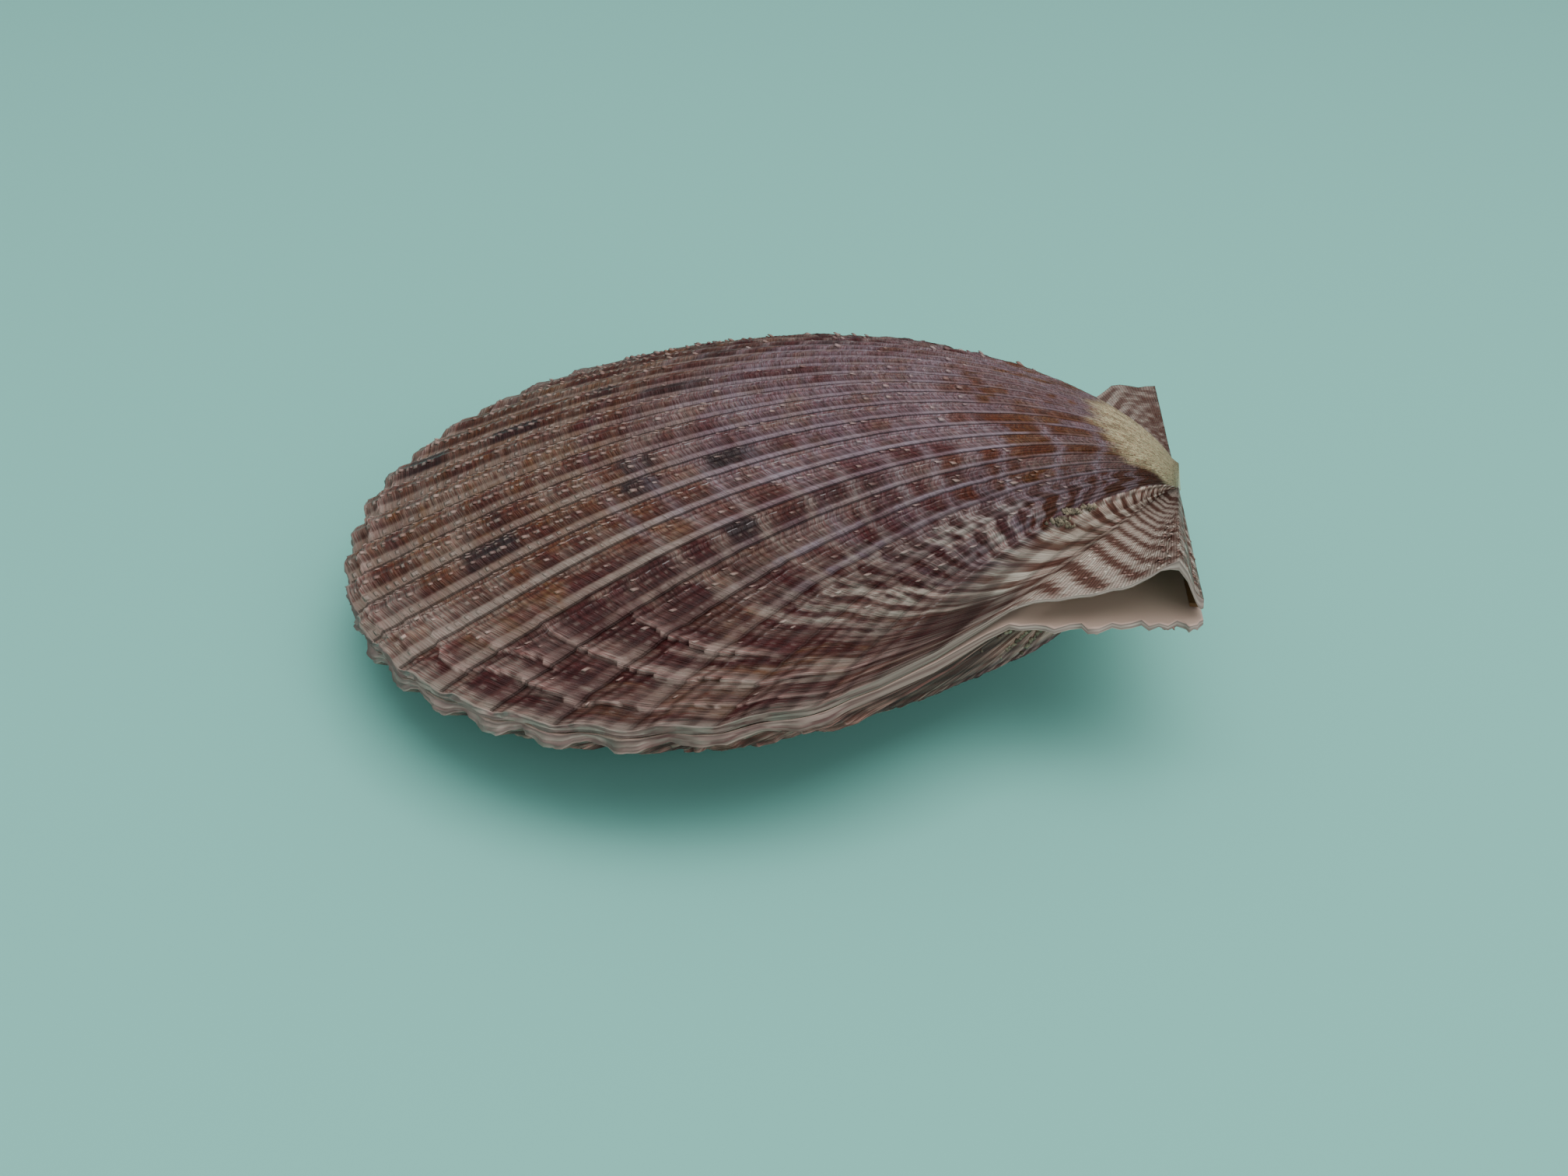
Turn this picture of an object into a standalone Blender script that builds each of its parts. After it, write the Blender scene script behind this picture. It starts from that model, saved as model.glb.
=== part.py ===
# A closed two-valve scallop shell at its real size, resting on its right valve with the left valve on top.
# Metres, +Z up. The hinge lies towards +X, the ventral edge towards -X, the rear ears towards -Y and the
# front ears, with the byssal notch of the right valve, towards +Y.

import math

import bmesh
import bpy
import numpy as np

# Driving dimensions
SHELL_HEIGHT = 0.0876         # hinge line to ventral edge
DISC_CENTRE = 0.0504          # hinge line to the centre of the round part of the disc
DISC_HALF_WIDTH = 0.0413
FLANK_ANGLE = 48.0            # degrees from the shell's middle line to the straight flank beside each ear
WALL_ANGLE = 4.5              # degrees that the step from the disc down to the ear takes up
REAR_EAR = 0.0230             # length of the hinge line behind the beak
FRONT_EAR = 0.0247            # length of the hinge line in front of the beak
EAR_EDGE_SLOPE = 0.03         # how much the free edges of the ears spread away from the hinge line
LEFT_CURL = 0.446             # how fast the growth spiral turns: the left valve is the deeper one
RIGHT_CURL = 0.414
EAR_CURL = 0.08
FLANK_SWELL = 0.15            # extra turn of the flanks
BEAK_OVERHANG = 0.0003        # how far the beak stands out past the hinge line
BEAK_HALF_WIDTH = 0.0006
BEAK_HEIGHT = 0.0025          # above the ears
BEAK_FOOT = 0.4               # how far the beak's foot runs on beyond it, as a share of its half width
RIB_COUNT = 23
RIB_SHIFT = 0.31              # how far a left groove lies off the front flank, as a share of a rib
RIB_HEIGHT = 0.0007           # crest above groove at the edge
RIB_ROUNDNESS = 2.3           # higher gives broader crests and narrower grooves
REST_KNOBS = (                # uneven spots on the right valve's ribs: rib, share of the height, thickness
    (10.5, 0.47, 0.00055), (13.5, 0.47, 0.0004), (12.5, 0.58, 0.0003))
KNOB_WIDTH = 0.25             # half width of such a spot, in ribs
KNOB_RUN = 0.04               # half length of it, as a share of the shell's height
WALL = 0.0014                 # thickness of a valve
EDGE = 0.00075                # thickness of its edge
THIN_FROM = 0.7               # where it starts to thin towards the edge, as a share of the shell's height
EAR_WALL = 0.0012
EDGE_GAP = 0.0002             # half the space left between the two edges
HINGE_GAP = 0.0005            # half the space between the ears at the hinge, where the ligament lies
COMMISSURE_WAVE = 0.0005      # rise and fall of the interlocking edges
WAVE_FADE = 6.0               # power of the size by which the wave dies away from the edge
LEDGE_AT = 0.90               # growth stop, as a share of the shell's height
LEDGE_DEPTH = 0.0004
LEDGE_RUN = 0.06              # share of the height in which the step of the growth stop evens out
NOTCH_DEPTH = 0.36            # byssal notch, as a share of the right valve's front ear
SINUS_DEPTH = 0.06            # the shallow hollow in the left valve's front ear
NOTCH_STEP = 2.5              # degrees from the foot of the disc's wall to the middle of the notch
NOTCH_SPREAD = 4.5            # degrees
REAR_GAPE = 0.0043            # height of the left valve's raised rear ear near the hinge
REAR_RISE = ((0.45, 47, 58), (0.20, 58, 72), (0.35, 70, 82))   # shares of that height, from and to degrees
REAR_FOLD = (86.8, 90.0)      # degrees between which the rear ear folds down to the hinge
LIGAMENT_HALF = 0.0002        # half its thickness
LIGAMENT_BACK = 0.0002        # from the hinge line to its back
LIGAMENT_DEPTH = 0.0011
LIGAMENT_REACH = 0.93         # share of each ear's hinge line that it covers
RESILIUM_DEPTH = 0.0040
RESILIUM_HALF = 0.0020        # half the width of the tongue
REST_LEAN = -0.07             # degrees about X, rear side up
REST_PITCH = 6.54             # degrees about Y, hinge side up

FAN_ANGLE = math.radians(50)  # how far the direction of thickness leans at the flanks
OUTER_ROWS = (0.06, 0.095, 0.14, 0.20, 0.28, 0.37, 0.47, 0.58, 0.69, 0.80, 0.90, 0.91, 0.96, 1.0)
INNER_ROWS = (1.0, 0.75, 0.45, 0.20)
PLATE_ROW = 0.10              # where the umbo cavity ends on the hinge plate
REAR_EAR_COLUMNS = (56, 62, 69, 76, 82, 86.5, 88.8, 90)
FRONT_EAR_COLUMNS = (56, 60, 66, 74, 82, 90)


def smooth(x, low, high):
    """A soft step from 0 at low to 1 at high."""
    t = np.clip((x - low) / (high - low), 0.0, 1.0)
    return t * t * (3.0 - 2.0 * t)


def columns():
    """Angles of the mesh columns from the front hinge end round to the rear one: four to a rib."""
    disc = np.linspace(-FLANK_ANGLE, FLANK_ANGLE, 4 * RIB_COUNT + 1)
    wall = FLANK_ANGLE + WALL_ANGLE * np.array((0.3, 0.65, 1.0))
    front = -np.array(FRONT_EAR_COLUMNS)[::-1]
    return np.radians(np.concatenate((front, -wall[::-1], disc, wall, REAR_EAR_COLUMNS)))


def ear_share(theta):
    """0 on the disc, 1 on the ears, with the wall between them."""
    return smooth(np.abs(theta), math.radians(FLANK_ANGLE), math.radians(FLANK_ANGLE + WALL_ANGLE))


def outline(theta, size, right):
    """Distance from the beak to the shell's edge: an ellipse for the disc, straight free edges for the ears.

    The byssal notch of the right valve deepens as the shell grows.
    """
    flank = math.radians(FLANK_ANGLE)
    cosine = np.cos(np.clip(theta, -flank, flank))
    sine = np.sin(np.clip(theta, -flank, flank))
    half_height = SHELL_HEIGHT - DISC_CENTRE
    a = (cosine / half_height) ** 2 + (sine / DISC_HALF_WIDTH) ** 2
    b = DISC_CENTRE * cosine / half_height ** 2
    c = (DISC_CENTRE / half_height) ** 2 - 1.0
    disc = (b + np.sqrt(b * b - a * c)) / a
    ear_angle = np.maximum(np.abs(theta), math.radians(FLANK_ANGLE + WALL_ANGLE))
    ear = np.where(theta > 0, REAR_EAR, FRONT_EAR) / (np.sin(ear_angle) - EAR_EDGE_SLOPE * np.cos(ear_angle))
    step = np.degrees(np.abs(theta)) - FLANK_ANGLE - WALL_ANGLE
    notch = np.exp(-((step - NOTCH_STEP) / NOTCH_SPREAD) ** 2) * (theta < 0) * smooth(size, 0.05, 0.35)
    ear = ear * (1.0 - (NOTCH_DEPTH if right else SINUS_DEPTH) * notch)
    share = ear_share(theta)
    return disc * (1.0 - share) + ear * share


def rib_phase(theta, right):
    """Which rib a place is on, counted from the front. The ribs of one valve face the other's grooves."""
    lean = theta / math.radians(FLANK_ANGLE)
    return (lean + 1.0) / 2.0 * RIB_COUNT + RIB_SHIFT + (0.5 if right else 0.0)


def rib(theta, right):
    """0 in a groove, 1 on a crest, fading out beside the ears."""
    wave = 1.0 - np.abs(np.cos(np.pi * rib_phase(theta, right))) ** RIB_ROUNDNESS
    return wave * (1.0 - ear_share(theta))


def knobs(theta, size):
    """Height of the three uneven spots on which the right valve lies."""
    height = 0.0
    for middle, at, rise in REST_KNOBS:
        aside = (rib_phase(theta, True) - middle) / KNOB_WIDTH
        height = height + rise * np.exp(-aside ** 2 - ((size - at) / KNOB_RUN) ** 2)
    return height


def gape(theta, right):
    """Height of the ear's free edge: the left valve's rear ear arches up and folds down at the hinge."""
    if right:
        return np.zeros_like(theta)
    degrees = np.degrees(theta)
    rise = sum(share * smooth(degrees, low, high) for share, low, high in REAR_RISE)
    return REAR_GAPE * rise * (1.0 - smooth(degrees, *REAR_FOLD))


def valve_surfaces(theta, size, right):
    """Outer and inner points of a valve before it is turned to its side of the shell.

    Every growth line is the edge of the shell made smaller by size and turned about the hinge by the curl
    times the logarithm of 1 / size. Thickness and ribs are measured along a fan of directions that leans
    from straight up on the middle line to the sides on the flanks.
    """
    theta, size = np.meshgrid(theta, np.array(size))
    share = ear_share(theta)
    curl = RIGHT_CURL if right else LEFT_CURL
    middle_turn = curl * np.log(1.0 / size)
    lean = np.clip(theta / math.radians(FLANK_ANGLE), -1.0, 1.0)
    turn = (curl * (1.0 - share) + EAR_CURL * share) * np.log(1.0 / size)
    turn = turn + FLANK_SWELL * np.abs(lean) ** 3 * (1.0 - share) * size * (1.0 - size)
    reach = size * outline(theta, size, right)
    across = reach * np.sin(theta)
    along = reach * np.cos(theta)
    wave = COMMISSURE_WAVE * (rib(theta, False) - 0.5) * (1.0 - share) * size ** WAVE_FADE
    if right:
        wave = -wave
    floor = EDGE_GAP + (HINGE_GAP - EDGE_GAP) * share + wave + size * gape(theta, right)
    edge = EDGE * (1.0 - share) + EAR_WALL * share
    outer = np.stack((along * np.cos(turn), across, along * np.sin(turn) + floor + edge), -1)

    fan_u = curl * np.cos(middle_turn) - np.sin(middle_turn)
    fan_w = np.cos(middle_turn) + curl * np.sin(middle_turn)
    length = np.hypot(fan_u, fan_w)
    tilt = FAN_ANGLE * lean * (1.0 - share)
    forward = np.cos(tilt) * fan_u / length * (1.0 - share)
    fan = np.stack((forward, np.sin(tilt), np.cos(tilt) * fan_w / length), -1)

    thickness = (WALL - (WALL - EDGE) * smooth(size, THIN_FROM, 1.0)) * (1.0 - share) + EAR_WALL * share
    inner = outer - fan * thickness[..., None]
    inner[..., 2] = np.maximum(inner[..., 2], floor)
    past = np.clip(size - LEDGE_AT, 0.0, 1.0)
    ledge = LEDGE_DEPTH * np.exp(-past / LEDGE_RUN) * (past > 0.0) * (1.0 - share)
    height = RIB_HEIGHT * rib(theta, right) * size - ledge + (knobs(theta, size) if right else 0.0)
    return outer + fan * height[..., None], inner


def beak_row(theta):
    """The small upright arch that ends the beak at the hinge line, on a flat foot as wide as the ear tips."""
    end = math.radians(FLANK_ANGLE + WALL_ANGLE)
    bow = np.clip(theta / end, -1.0, 1.0) * math.pi / 2
    beyond = np.clip(np.abs(theta) - end, 0.0, None) / (math.pi / 2 - end)
    across = BEAK_HALF_WIDTH * (np.sin(bow) + BEAK_FOOT * beyond * np.sign(theta))
    up = HINGE_GAP + EAR_WALL + BEAK_HEIGHT * np.cos(bow)
    return np.stack((np.zeros_like(theta), across, up), -1)


def hinge_plate(theta, right):
    """The foot of the umbo cavity's wall, a small copy of the shell's outline on the hinge plate."""
    reach = PLATE_ROW * outline(theta, PLATE_ROW, right)
    return np.stack((reach * np.cos(theta), reach * np.sin(theta), np.full_like(theta, HINGE_GAP)), -1)


def bridge(mesh, first, second):
    """Triangles between two rows of vertices with any number of points in each."""
    i = j = 0
    while i < len(first) - 1 or j < len(second) - 1:
        ahead_i = (i + 1) / max(len(first) - 1, 1)
        ahead_j = (j + 1) / max(len(second) - 1, 1)
        if j == len(second) - 1 or (i < len(first) - 1 and ahead_i <= ahead_j):
            corners = (first[i], first[i + 1], second[j])
            i += 1
        else:
            corners = (first[i], second[j + 1], second[j])
            j += 1
        if len(set(corners)) == 3:
            mesh.faces.new(corners)


def add_object(name, mesh, material, parent):
    """Turn a bmesh into an object with its material, under the empty that carries the whole shell."""
    bmesh.ops.recalc_face_normals(mesh, faces=mesh.faces)
    data = bpy.data.meshes.new(name)
    mesh.to_mesh(data)
    mesh.free()
    data.materials.append(material)
    data.shade_smooth()
    data.set_sharp_from_angle(angle=math.radians(50))
    thing = bpy.data.objects.new(name, data)
    bpy.context.scene.collection.objects.link(thing)
    thing.parent = parent
    return thing


def make_material(name, colour, roughness):
    """A Principled material of one colour."""
    material = bpy.data.materials.new(name)
    material.use_nodes = True
    shader = material.node_tree.nodes["Principled BSDF"]
    shader.inputs["Base Color"].default_value = (*colour, 1.0)
    shader.inputs["Roughness"].default_value = roughness
    return material


def make_valve(name, right, material, parent):
    """One valve: outer rows from the beak to the edge, inner rows back to the umbo, then the hinge plate.

    One fan closes the hinge plate, another the small face behind the beak, and strips the hinge line.
    """
    theta = columns()
    outer, _ = valve_surfaces(theta, OUTER_ROWS, right)
    _, inner = valve_surfaces(theta, INNER_ROWS, right)
    rows = [beak_row(theta)] + list(outer) + list(inner) + [hinge_plate(theta, right)]
    flip = np.array((-1.0, -1.0, -1.0 if right else 1.0))
    mesh = bmesh.new()
    grid = [[mesh.verts.new(point) for point in row * flip] for row in rows]
    centre = mesh.verts.new((0.0, 0.0, HINGE_GAP * flip[2]))
    for lower, upper in zip(grid, grid[1:]):
        for a, b, c, d in zip(lower, lower[1:], upper[1:], upper):
            mesh.faces.new((a, b, c, d))
    beak = mesh.verts.new((BEAK_OVERHANG, 0.0, (HINGE_GAP + EAR_WALL / 2) * flip[2]))
    for a, b in zip(grid[-1], grid[-1][1:]):
        mesh.faces.new((centre, a, b))
    behind = grid[0] + [centre]
    for a, b in zip(behind, behind[1:] + behind[:1]):
        mesh.faces.new((beak, a, b))
    split = 1 + len(OUTER_ROWS)
    for column in (0, -1):
        outside = [row[column] for row in grid[:split]]
        inside = [centre] + [row[column] for row in grid[split:]][::-1]
        bridge(mesh, outside, inside)
    bmesh.ops.triangulate(mesh, faces=mesh.faces, quad_method="SHORT_EDGE")
    return add_object(name, mesh, material, parent)


def make_ligament(material, parent):
    """The horny strip along the hinge line, with the short tongue that lies in the middle of the hinge."""
    rear, front = LIGAMENT_REACH * REAR_EAR, LIGAMENT_REACH * FRONT_EAR
    outline_points = (
        (LIGAMENT_BACK, rear), (LIGAMENT_BACK, -front), (LIGAMENT_DEPTH, LIGAMENT_BACK - front),
        (LIGAMENT_DEPTH, -RESILIUM_HALF), (RESILIUM_DEPTH, -RESILIUM_HALF / 2),
        (RESILIUM_DEPTH, RESILIUM_HALF / 2), (LIGAMENT_DEPTH, RESILIUM_HALF),
        (LIGAMENT_DEPTH, rear - LIGAMENT_BACK))
    mesh = bmesh.new()
    lower = [mesh.verts.new((-u, -v, -LIGAMENT_HALF)) for u, v in outline_points]
    upper = [mesh.verts.new((-u, -v, LIGAMENT_HALF)) for u, v in outline_points]
    mesh.faces.new(lower[::-1])
    mesh.faces.new(upper)
    for i in range(len(outline_points)):
        j = (i + 1) % len(outline_points)
        mesh.faces.new((lower[i], lower[j], upper[j], upper[i]))
    return add_object("hinge_ligament", mesh, material, parent)


def rest(carrier, things):
    """Lean the shell as it lies, with the middle of its footprint at the origin and its lowest point at 0."""
    carrier.rotation_euler = (-math.radians(REST_LEAN), -math.radians(REST_PITCH), 0.0)
    bpy.context.view_layer.update()
    points = np.array([thing.matrix_world @ vertex.co for thing in things for vertex in thing.data.vertices])
    low, high = points.min(0), points.max(0)
    carrier.location = (-(low[0] + high[0]) / 2, -(low[1] + high[1]) / 2, -low[2])
    bpy.context.view_layer.update()


def build():
    """The two valves and the ligament, under one empty."""
    for thing in list(bpy.data.objects):
        bpy.data.objects.remove(thing, do_unlink=True)
    carrier = bpy.data.objects.new("shell_frame", None)
    bpy.context.scene.collection.objects.link(carrier)
    left = make_material("left_valve", (0.26, 0.13, 0.10), 0.45)
    right = make_material("right_valve", (0.24, 0.11, 0.08), 0.45)
    horn = make_material("ligament", (0.09, 0.05, 0.02), 0.55)
    things = [
        make_valve("left_valve", False, left, carrier),
        make_valve("right_valve", True, right, carrier),
        make_ligament(horn, carrier)]
    rest(carrier, things)


build()
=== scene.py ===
"""The closed scallop shell with its ribs, scales, growth stops and colours, seen from its rear side."""

import math

import bpy
import numpy as np
from mathutils import Euler, Matrix, Vector


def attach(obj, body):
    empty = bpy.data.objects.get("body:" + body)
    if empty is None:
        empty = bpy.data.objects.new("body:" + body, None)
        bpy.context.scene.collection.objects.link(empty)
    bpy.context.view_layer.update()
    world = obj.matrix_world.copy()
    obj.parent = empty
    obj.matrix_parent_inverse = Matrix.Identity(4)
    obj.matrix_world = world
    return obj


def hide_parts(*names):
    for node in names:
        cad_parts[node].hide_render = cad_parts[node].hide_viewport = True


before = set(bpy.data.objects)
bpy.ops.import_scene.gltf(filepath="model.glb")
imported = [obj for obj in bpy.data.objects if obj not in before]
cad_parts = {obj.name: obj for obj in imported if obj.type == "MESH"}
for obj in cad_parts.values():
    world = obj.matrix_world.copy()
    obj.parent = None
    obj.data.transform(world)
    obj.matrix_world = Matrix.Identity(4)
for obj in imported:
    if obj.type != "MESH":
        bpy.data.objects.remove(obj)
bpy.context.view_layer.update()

TURN = 2 * math.pi

# The shell's own frame: u from the hinge to the ventral edge, v from the beak to the rear, w up. Metres.
# A place on a valve is an angle theta from the middle line, positive to the rear, and a size from 0 at the
# beak to 1 at the edge.
SHELL_HEIGHT = 0.0876
DISC_CENTRE = 0.0504
DISC_HALF_WIDTH = 0.0413
FLANK = math.radians(48.0)
FLANK_STEP = math.radians(4.5)
EAR_START = 52.5
LEFT_CURL = 0.446
RIGHT_CURL = 0.414
EAR_CURL = 0.08
FLANK_SWELL = 0.15
FAN_ANGLE = math.radians(50)

RIB_COUNT = 23
RIB_SHIFT = 0.31
RIB_HEIGHT = 0.0007
RIBLET_HEIGHT = 0.00008
WRINKLE_HEIGHT = 0.00085
FINE_WRINKLE_HEIGHT = 0.0003
GRAIN_HEIGHT = 0.0001

REAR_EAR = 0.0230
FRONT_EAR = 0.0247
EAR_EDGE_SLOPE = 0.03
FRONT_EAR_CUT = 0.0316
FRONT_EAR_CUT_SLOPE = 1.38
NOTCH_DEPTH = 0.36
EAR_TIP = 0.0010
EAR_CHIPS = {False: 0.0006, True: 0.0012}
EAR_RIBLET_HEIGHT = 0.00016
EAR_RIBLET_PITCH = 2.6
EAR_GRAIN_HEIGHT = 0.00022
REAR_GAPE = 0.0043

WALL = 0.0014
EDGE = 0.00075
EAR_WALL = 0.0012
LEFT_EAR_THINNING = 0.00085
RIGHT_EAR_THINNING = 0.0006
SHELF_WALL = 0.0003
EDGE_GAP = 0.00004
HINGE_GAP = 0.0005
COMMISSURE_WAVE = 0.0005
BEAK_HALF_WIDTH = 0.0006
BEAK_RISE = 0.0025
BEAK_OVERHANG = 0.0003
PLATE_SIZE = 0.10

# The three uneven spots on which the right valve lies: rib, size and height
REST_KNOBS = ((10.5, 0.47, 0.00055), (13.5, 0.47, 0.0004), (12.5, 0.58, 0.0003))
REST_LEAN = math.radians(-0.07)
REST_PITCH = math.radians(6.54)
HINGE_PLACE = (0.043485, 0.0, 0.018555)
SHELL_TO_ROW = Matrix.Translation(HINGE_PLACE) @ Euler((-REST_LEAN, -REST_PITCH, 0.0)).to_matrix().to_4x4()

# Growth stops: place on the growth lines, height of the sheet's rim, and the lean from which it shows
STOPS = ((0.800, 0.00070, 0.52), (0.872, 0.00065, 0.44), (0.920, 0.00045, 0.38), (0.955, 0.00035, 0.20),
         (0.984, 0.00035, -0.8))
SHEET_FADE = 0.022
RIM_FADE = 0.007

# Mesh rows and columns, and the layers of the torn edge as shares of the way from outside to inside
RIB_COLUMNS = 16
BEAK_ROWS = 15
OUTER_ROWS = 200
BEAK_SIZES = (0.045, 0.12)
INNER_SIZES = (1.0, 0.985, 0.95, 0.9, 0.82, 0.72, 0.6, 0.48, 0.36, 0.26, 0.18, 0.13)
EDGE_LAYERS = (0.06, 0.2, 0.34, 0.48, 0.62, 0.76, 0.92)
TOOTHED_LAYERS = (2, 4)
DARK_LAYERS = (1, 6)
PALE_LAYERS = (0, 3, 4)
FLAKE_REACH = 0.00052
FLAKE_DIP = -0.00015
TOOTH_REACH = 0.0006
LAYER_LIFT = 0.00022
GROWTH_TO_MM = 88.0
SCALLOP_PITCH = 1.2

SCALE_STEP = 0.0125
SCALE_LENGTH = 0.00062
SCALE_WIDTH = 0.00040
SCALE_RISE = 0.00011
FRONT_SCALE_RISE = 0.00010
SCALE_ROOT = 0.00015
# Spots of dirt: angle in degrees, size, spread and number of crumbs
LEFT_GRIT = ((47.3, 0.385, 0.5, 60), (48.2, 0.43, 0.6, 40), (48.0, 0.35, 0.4, 15))
RIGHT_GRIT = ((50.5, 0.64, 0.6, 90), (52.0, 0.85, 0.7, 50), (49.5, 0.55, 0.5, 40))
CRUMB_REACH = (0.00012, 0.00036)
CRUMB_ROUGHNESS = 0.00005

# Colours of the shell, as plain reflectances
CREAM = (0.66, 0.59, 0.35)
WHITE = (0.74, 0.67, 0.56)
LILAC = (0.195, 0.135, 0.172)
PALE_LILAC = (0.270, 0.215, 0.250)
PALE_TAN = (0.275, 0.215, 0.180)
PINK_TAN = (0.215, 0.150, 0.118)
TAN = (0.170, 0.095, 0.052)
OCHRE = (0.145, 0.060, 0.018)
RUST = (0.115, 0.030, 0.011)
MAROON = (0.086, 0.018, 0.018)
DEEP_MAROON = (0.050, 0.010, 0.010)
DARK = (0.034, 0.020, 0.021)
EAR_BROWN = (0.135, 0.042, 0.024)
MAUVE = (0.46, 0.31, 0.25)
DIRT = (0.20, 0.165, 0.115)
RIM_PALE = (0.56, 0.39, 0.34)
RIM_MAUVE = (0.32, 0.195, 0.18)
RIM_DARK = (0.085, 0.05, 0.045)
RIGHT_TINT = (1.18, 0.86, 0.84)
STROKE_TINT = (0.70, 0.47, 0.47)
BEAD_PALE = (0.34, 0.265, 0.225)
# Painted highlight: pale glints on the riblets' crests, where the light would shine off them
PAINTED_GLINT_TONE = (0.62, 0.56, 0.56)
HORN = (0.14, 0.065, 0.022)
FLOOR_TONE = (0.25, 0.66, 0.57)
SKY_TONE = (0.90, 0.97, 1.0)

# Stretches that stand out on single ribs of the left valve: rib, growth, half length, colour, strength
BLOTCHES = (
    (9, 0.73, 0.020, DARK, 0.8), (10, 0.62, 0.045, DARK, 0.8), (10, 0.50, 0.05, MAROON, 0.8),
    (10, 0.82, 0.038, DARK, 0.9), (10, 0.945, 0.033, DARK, 0.85), (11, 0.445, 0.015, MAROON, 0.8),
    (14, 0.655, 0.022, DARK, 0.8), (14, 0.82, 0.010, DEEP_MAROON, 0.8), (15, 0.30, 0.033, RUST, 0.9),
    (15, 0.225, 0.025, OCHRE, 0.9), (15, 0.565, 0.034, DARK, 1.0), (15, 0.665, 0.023, DARK, 0.95),
    (15, 0.84, 0.038, DARK, 1.0), (15, 0.965, 0.026, DEEP_MAROON, 0.9), (18, 0.265, 0.022, RUST, 0.9),
    (18, 0.317, 0.014, RUST, 0.9), (18, 0.37, 0.015, RUST, 0.8), (18, 0.50, 0.06, DEEP_MAROON, 0.85),
    (18, 0.625, 0.024, DARK, 1.0), (18, 0.74, 0.030, DEEP_MAROON, 0.9), (19, 0.43, 0.03, MAROON, 0.8),
    (19, 0.30, 0.02, RUST, 0.8), (20, 0.36, 0.018, RUST, 0.8), (11, 0.71, 0.02, MAROON, 0.7),
    (12, 0.70, 0.022, MAROON, 0.6), (13, 0.72, 0.02, MAROON, 0.6), (6, 0.50, 0.03, DARK, 0.7),
    (7, 0.64, 0.03, DARK, 0.7), (8, 0.40, 0.02, MAROON, 0.7), (5, 0.75, 0.03, DARK, 0.7))
# Pale lines across the ribs, as places on the growth lines, and their half width
CROSS_LINES = (0.168, 0.229, 0.302, 0.385, 0.433, 0.490, 0.545, 0.600, 0.655, 0.705)
CROSS_LINE_WIDTH = 0.0065
# Broad zones along the growth lines: place, half width, colour, strength
GROWTH_ZONES = (
    (0.335, 0.018, PALE_LILAC, 0.45), (0.445, 0.020, LILAC, 0.40), (0.528, 0.010, PALE_LILAC, 0.45),
    (0.600, 0.014, PINK_TAN, 0.45), (0.660, 0.016, MAROON, 0.30), (0.745, 0.016, PINK_TAN, 0.40),
    (0.800, 0.015, MAROON, 0.30), (0.865, 0.014, PALE_TAN, 0.30), (0.930, 0.014, MAROON, 0.30))
# Strength of the pale band on each rib, from the front to the rear
BAND_STRENGTH = (0.4, 0.35, 0.3, 0.35, 0.4, 0.3, 0.35, 0.3, 0.35, 0.35, 0.4, 0.4, 0.35, 0.45, 0.55, 0.6, 1.0,
                 1.0, 0.55, 0.85, 0.85, 0.4, 0.4, 0.4, 0.4)
# Middles of the ears' brown stripes along a slanting line, in shares of the shell's height
EAR_STRIPES = (0.0, 0.075, 0.095, 0.115, 0.138, 0.162, 0.186, 0.212, 0.246, 0.288, 0.338, 0.395, 0.500, 0.612,
               0.690, 0.770, 0.860, 0.960, 1.1)
EAR_STRIPE_SLANT = 2.2


def smooth(x, low, high):
    """A soft step from 0 at low to 1 at high."""
    t = np.clip((x - low) / (high - low), 0.0, 1.0)
    return t * t * (3.0 - 2.0 * t)


def fade(x, low, high):
    """A soft step from 1 at low to 0 at high."""
    return 1.0 - smooth(x, low, high)


def lattice(i, j, seed):
    """A repeatable number from 0 to 1 for each pair of whole numbers."""
    h = np.sin(i * 12.9898 + j * 78.233 + seed * 37.719) * 43758.5453
    return h - np.floor(h)


def noise(x, y, seed):
    """Smooth value noise from 0 to 1 over two coordinates. Each seed gives a pattern of its own."""
    i, j = np.floor(x), np.floor(y)
    a, b = smooth(x - i, 0, 1), smooth(y - j, 0, 1)
    low = lattice(i, j, seed) * (1 - a) + lattice(i + 1, j, seed) * a
    high = lattice(i, j + 1, seed) * (1 - a) + lattice(i + 1, j + 1, seed) * a
    return low * (1 - b) + high * b


def rough(x, y, seed):
    """Three octaves of noise, from 0 to 1."""
    broad = noise(x, y, seed) * 4 + noise(2.1 * x, 2.1 * y, seed + 1) * 2
    return (broad + noise(4.3 * x, 4.3 * y, seed + 2)) / 7


def ear_share(theta):
    """0 on the disc, 1 on the ears, rising over the wall between them."""
    return smooth(np.abs(theta), FLANK, FLANK + FLANK_STEP)


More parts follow.
